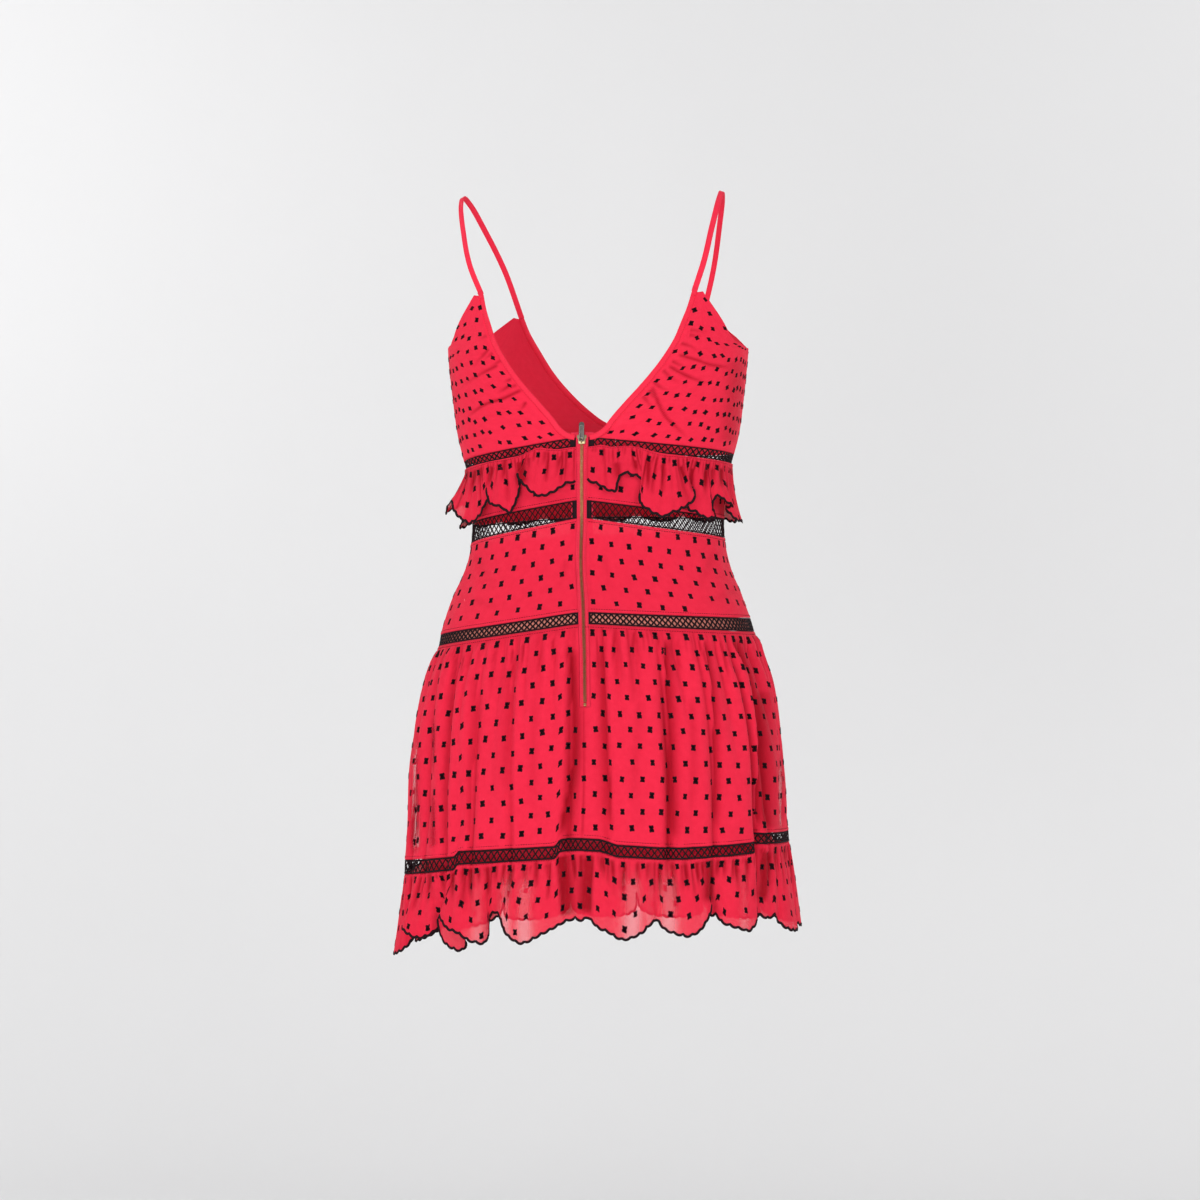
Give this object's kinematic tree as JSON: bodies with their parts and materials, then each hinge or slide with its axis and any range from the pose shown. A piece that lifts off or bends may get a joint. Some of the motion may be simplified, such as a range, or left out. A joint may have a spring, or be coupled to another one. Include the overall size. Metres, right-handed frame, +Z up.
{
  "type": "mini dress",
  "caption": "Sleeveless mini dress, hollow as worn, with narrow straps, lattice lace bands, a frilled bust and hem, a gathered skirt and a zip up the back.",
  "frame": {"origin": "midway between the undersides of the two straps where they cross the shoulders, on the wearer's centre plane", "axes": "+Z up, +Y out of the wearer's back through the zip, +X to the wearer's left, so the wearer faces -Y"},
  "size_m": [0.4106, 0.3193, 0.7924],
  "materials": {
    "georgette": "sheer matte crepe with small black woven spots",
    "binding": "matte, folded and stitched",
    "lace": "matte lattice lace",
    "net": "matte fine net, skin coloured",
    "lining": "soft satin",
    "tape": "matte woven tape",
    "brass": "aged satin",
    "gunmetal": "dark polished"
  },
  "bodies": {
    "dress": {"strap_left": "binding", "strap_right": "binding", "bodice_back_left": "georgette", "bodice_back_right": "georgette", "bodice_front_left": "georgette", "bodice_front_right": "georgette", "neck_binding_back_left": "binding", "neck_binding_back_right": "binding", "neck_binding_front_left": "binding", "neck_binding_front_right": "binding", "bust_lace_left": "lace", "bust_lace_right": "lace", "upper_ruffle": "georgette", "midriff_band": "georgette", "waist_lace": "lace", "hip_yoke": "georgette", "hip_lace": "lace", "hip_lace_backing": "net", "skirt": "georgette", "skirt_lining": "lining", "hem_lace": "lace", "hem_ruffle": "georgette", "zip_tape_left": "tape", "zip_tape_right": "tape", "zip_chain": "brass", "zip_slider": "brass", "zip_bottom_stop": "brass"},
    "zip_pull": {"zip_pull": "gunmetal"}
  },
  "joints": [
    {"name": "pull_swing", "type": "hinge", "parent": "dress", "child": "zip_pull", "pos_m": [0.00216, 0.09386, -0.26312], "axis": [-0.9998, -0.0018, -0.0206], "range_deg": [0, 175]}
  ]
}
